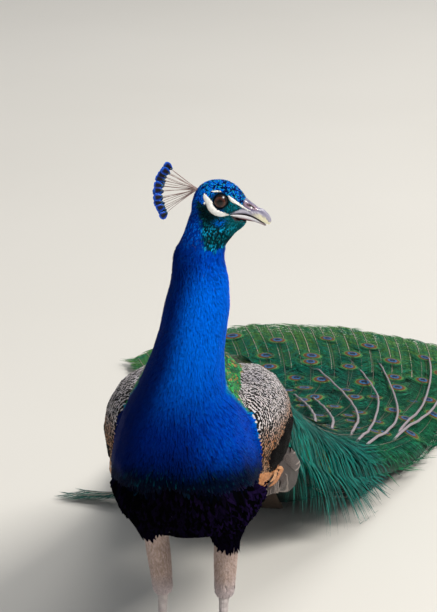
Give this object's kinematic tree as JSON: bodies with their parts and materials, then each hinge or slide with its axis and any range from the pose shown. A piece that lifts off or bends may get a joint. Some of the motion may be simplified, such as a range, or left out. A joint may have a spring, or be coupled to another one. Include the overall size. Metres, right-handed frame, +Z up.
{
  "type": "peacock",
  "caption": "Life-size still peacock standing with its head turned to its left, crest fanned, wings folded and the long green train lowered to the floor behind it.",
  "frame": {"origin": "bottom centre of the model's bounding box, on the floor", "axes": "+Z up, the bird faces -Y, its left side is +X, its train lies towards +Y"},
  "size_m": [0.6722, 1.6082, 0.8043],
  "materials": {
    "plumage_blue": "close silky feathers, iridescent royal blue with teal and green on the face and throat",
    "plumage_black": "soft black feathers with a purple and green gloss",
    "plumage_green": "scale-like metallic green feathers with bronze and black edges",
    "plumage_teal": "loose glossy green and teal barbs on pale shafts, with blue-centred eye spots",
    "plumage_barred": "matt buff-white feathers with wavy black bars",
    "plumage_dark": "glossy blue-black flight feathers",
    "plumage_taupe": "matt brownish flight feathers",
    "plumage_orange": "matt chestnut and buff wing feathers",
    "plumage_brown": "matt brown tail feathers",
    "plumage_buff": "short buff leg feathers",
    "crest_feather": "bare pale shafts with blue and black spatulate tips",
    "leg_scale": "grey-brown overlapping scales",
    "claw": "dark horn",
    "bill_horn": "grey-lilac horn, paler at the cutting edge",
    "eye": "wet dark brown iris with a black pupil"
  },
  "bodies": {
    "root": {"bill_lower": "bill_horn", "bill_upper": "bill_horn", "breast": "plumage_blue", "claw_hind_left": "claw", "claw_hind_right": "claw", "claw_inner_left": "claw", "claw_inner_right": "claw", "claw_middle_left": "claw", "claw_middle_right": "claw", "claw_outer_left": "claw", "claw_outer_right": "claw", "crest": "crest_feather", "eye_left": "eye", "eye_right": "eye", "foot_left": "leg_scale", "foot_right": "leg_scale", "head": "plumage_blue", "neck_lower": "plumage_blue", "neck_middle": "plumage_blue", "neck_upper": "plumage_blue", "rump": "plumage_green", "shank_left": "leg_scale", "shank_right": "leg_scale", "side_plume_left": "plumage_teal", "side_plume_right": "plumage_teal", "spur_left": "claw", "spur_right": "claw", "tail": "plumage_brown", "thigh_left": "plumage_buff", "thigh_right": "plumage_buff", "train_fore": "plumage_green", "train_middle": "plumage_teal", "train_plume_1": "plumage_teal", "train_plume_2": "plumage_teal", "train_plume_3": "plumage_teal", "train_plume_4": "plumage_teal", "train_plume_5": "plumage_teal", "train_plume_6": "plumage_teal", "train_plume_7": "plumage_teal", "train_plume_8": "plumage_teal", "train_plume_9": "plumage_teal", "train_rear": "plumage_teal", "train_root": "plumage_green", "trunk": "plumage_black", "wing_alula_left": "plumage_orange", "wing_alula_right": "plumage_orange", "wing_coverts_left": "plumage_barred", "wing_coverts_right": "plumage_barred", "wing_primaries_left": "plumage_taupe", "wing_primaries_right": "plumage_taupe", "wing_secondaries_left": "plumage_dark", "wing_secondaries_right": "plumage_dark"}
  },
  "joints": []
}
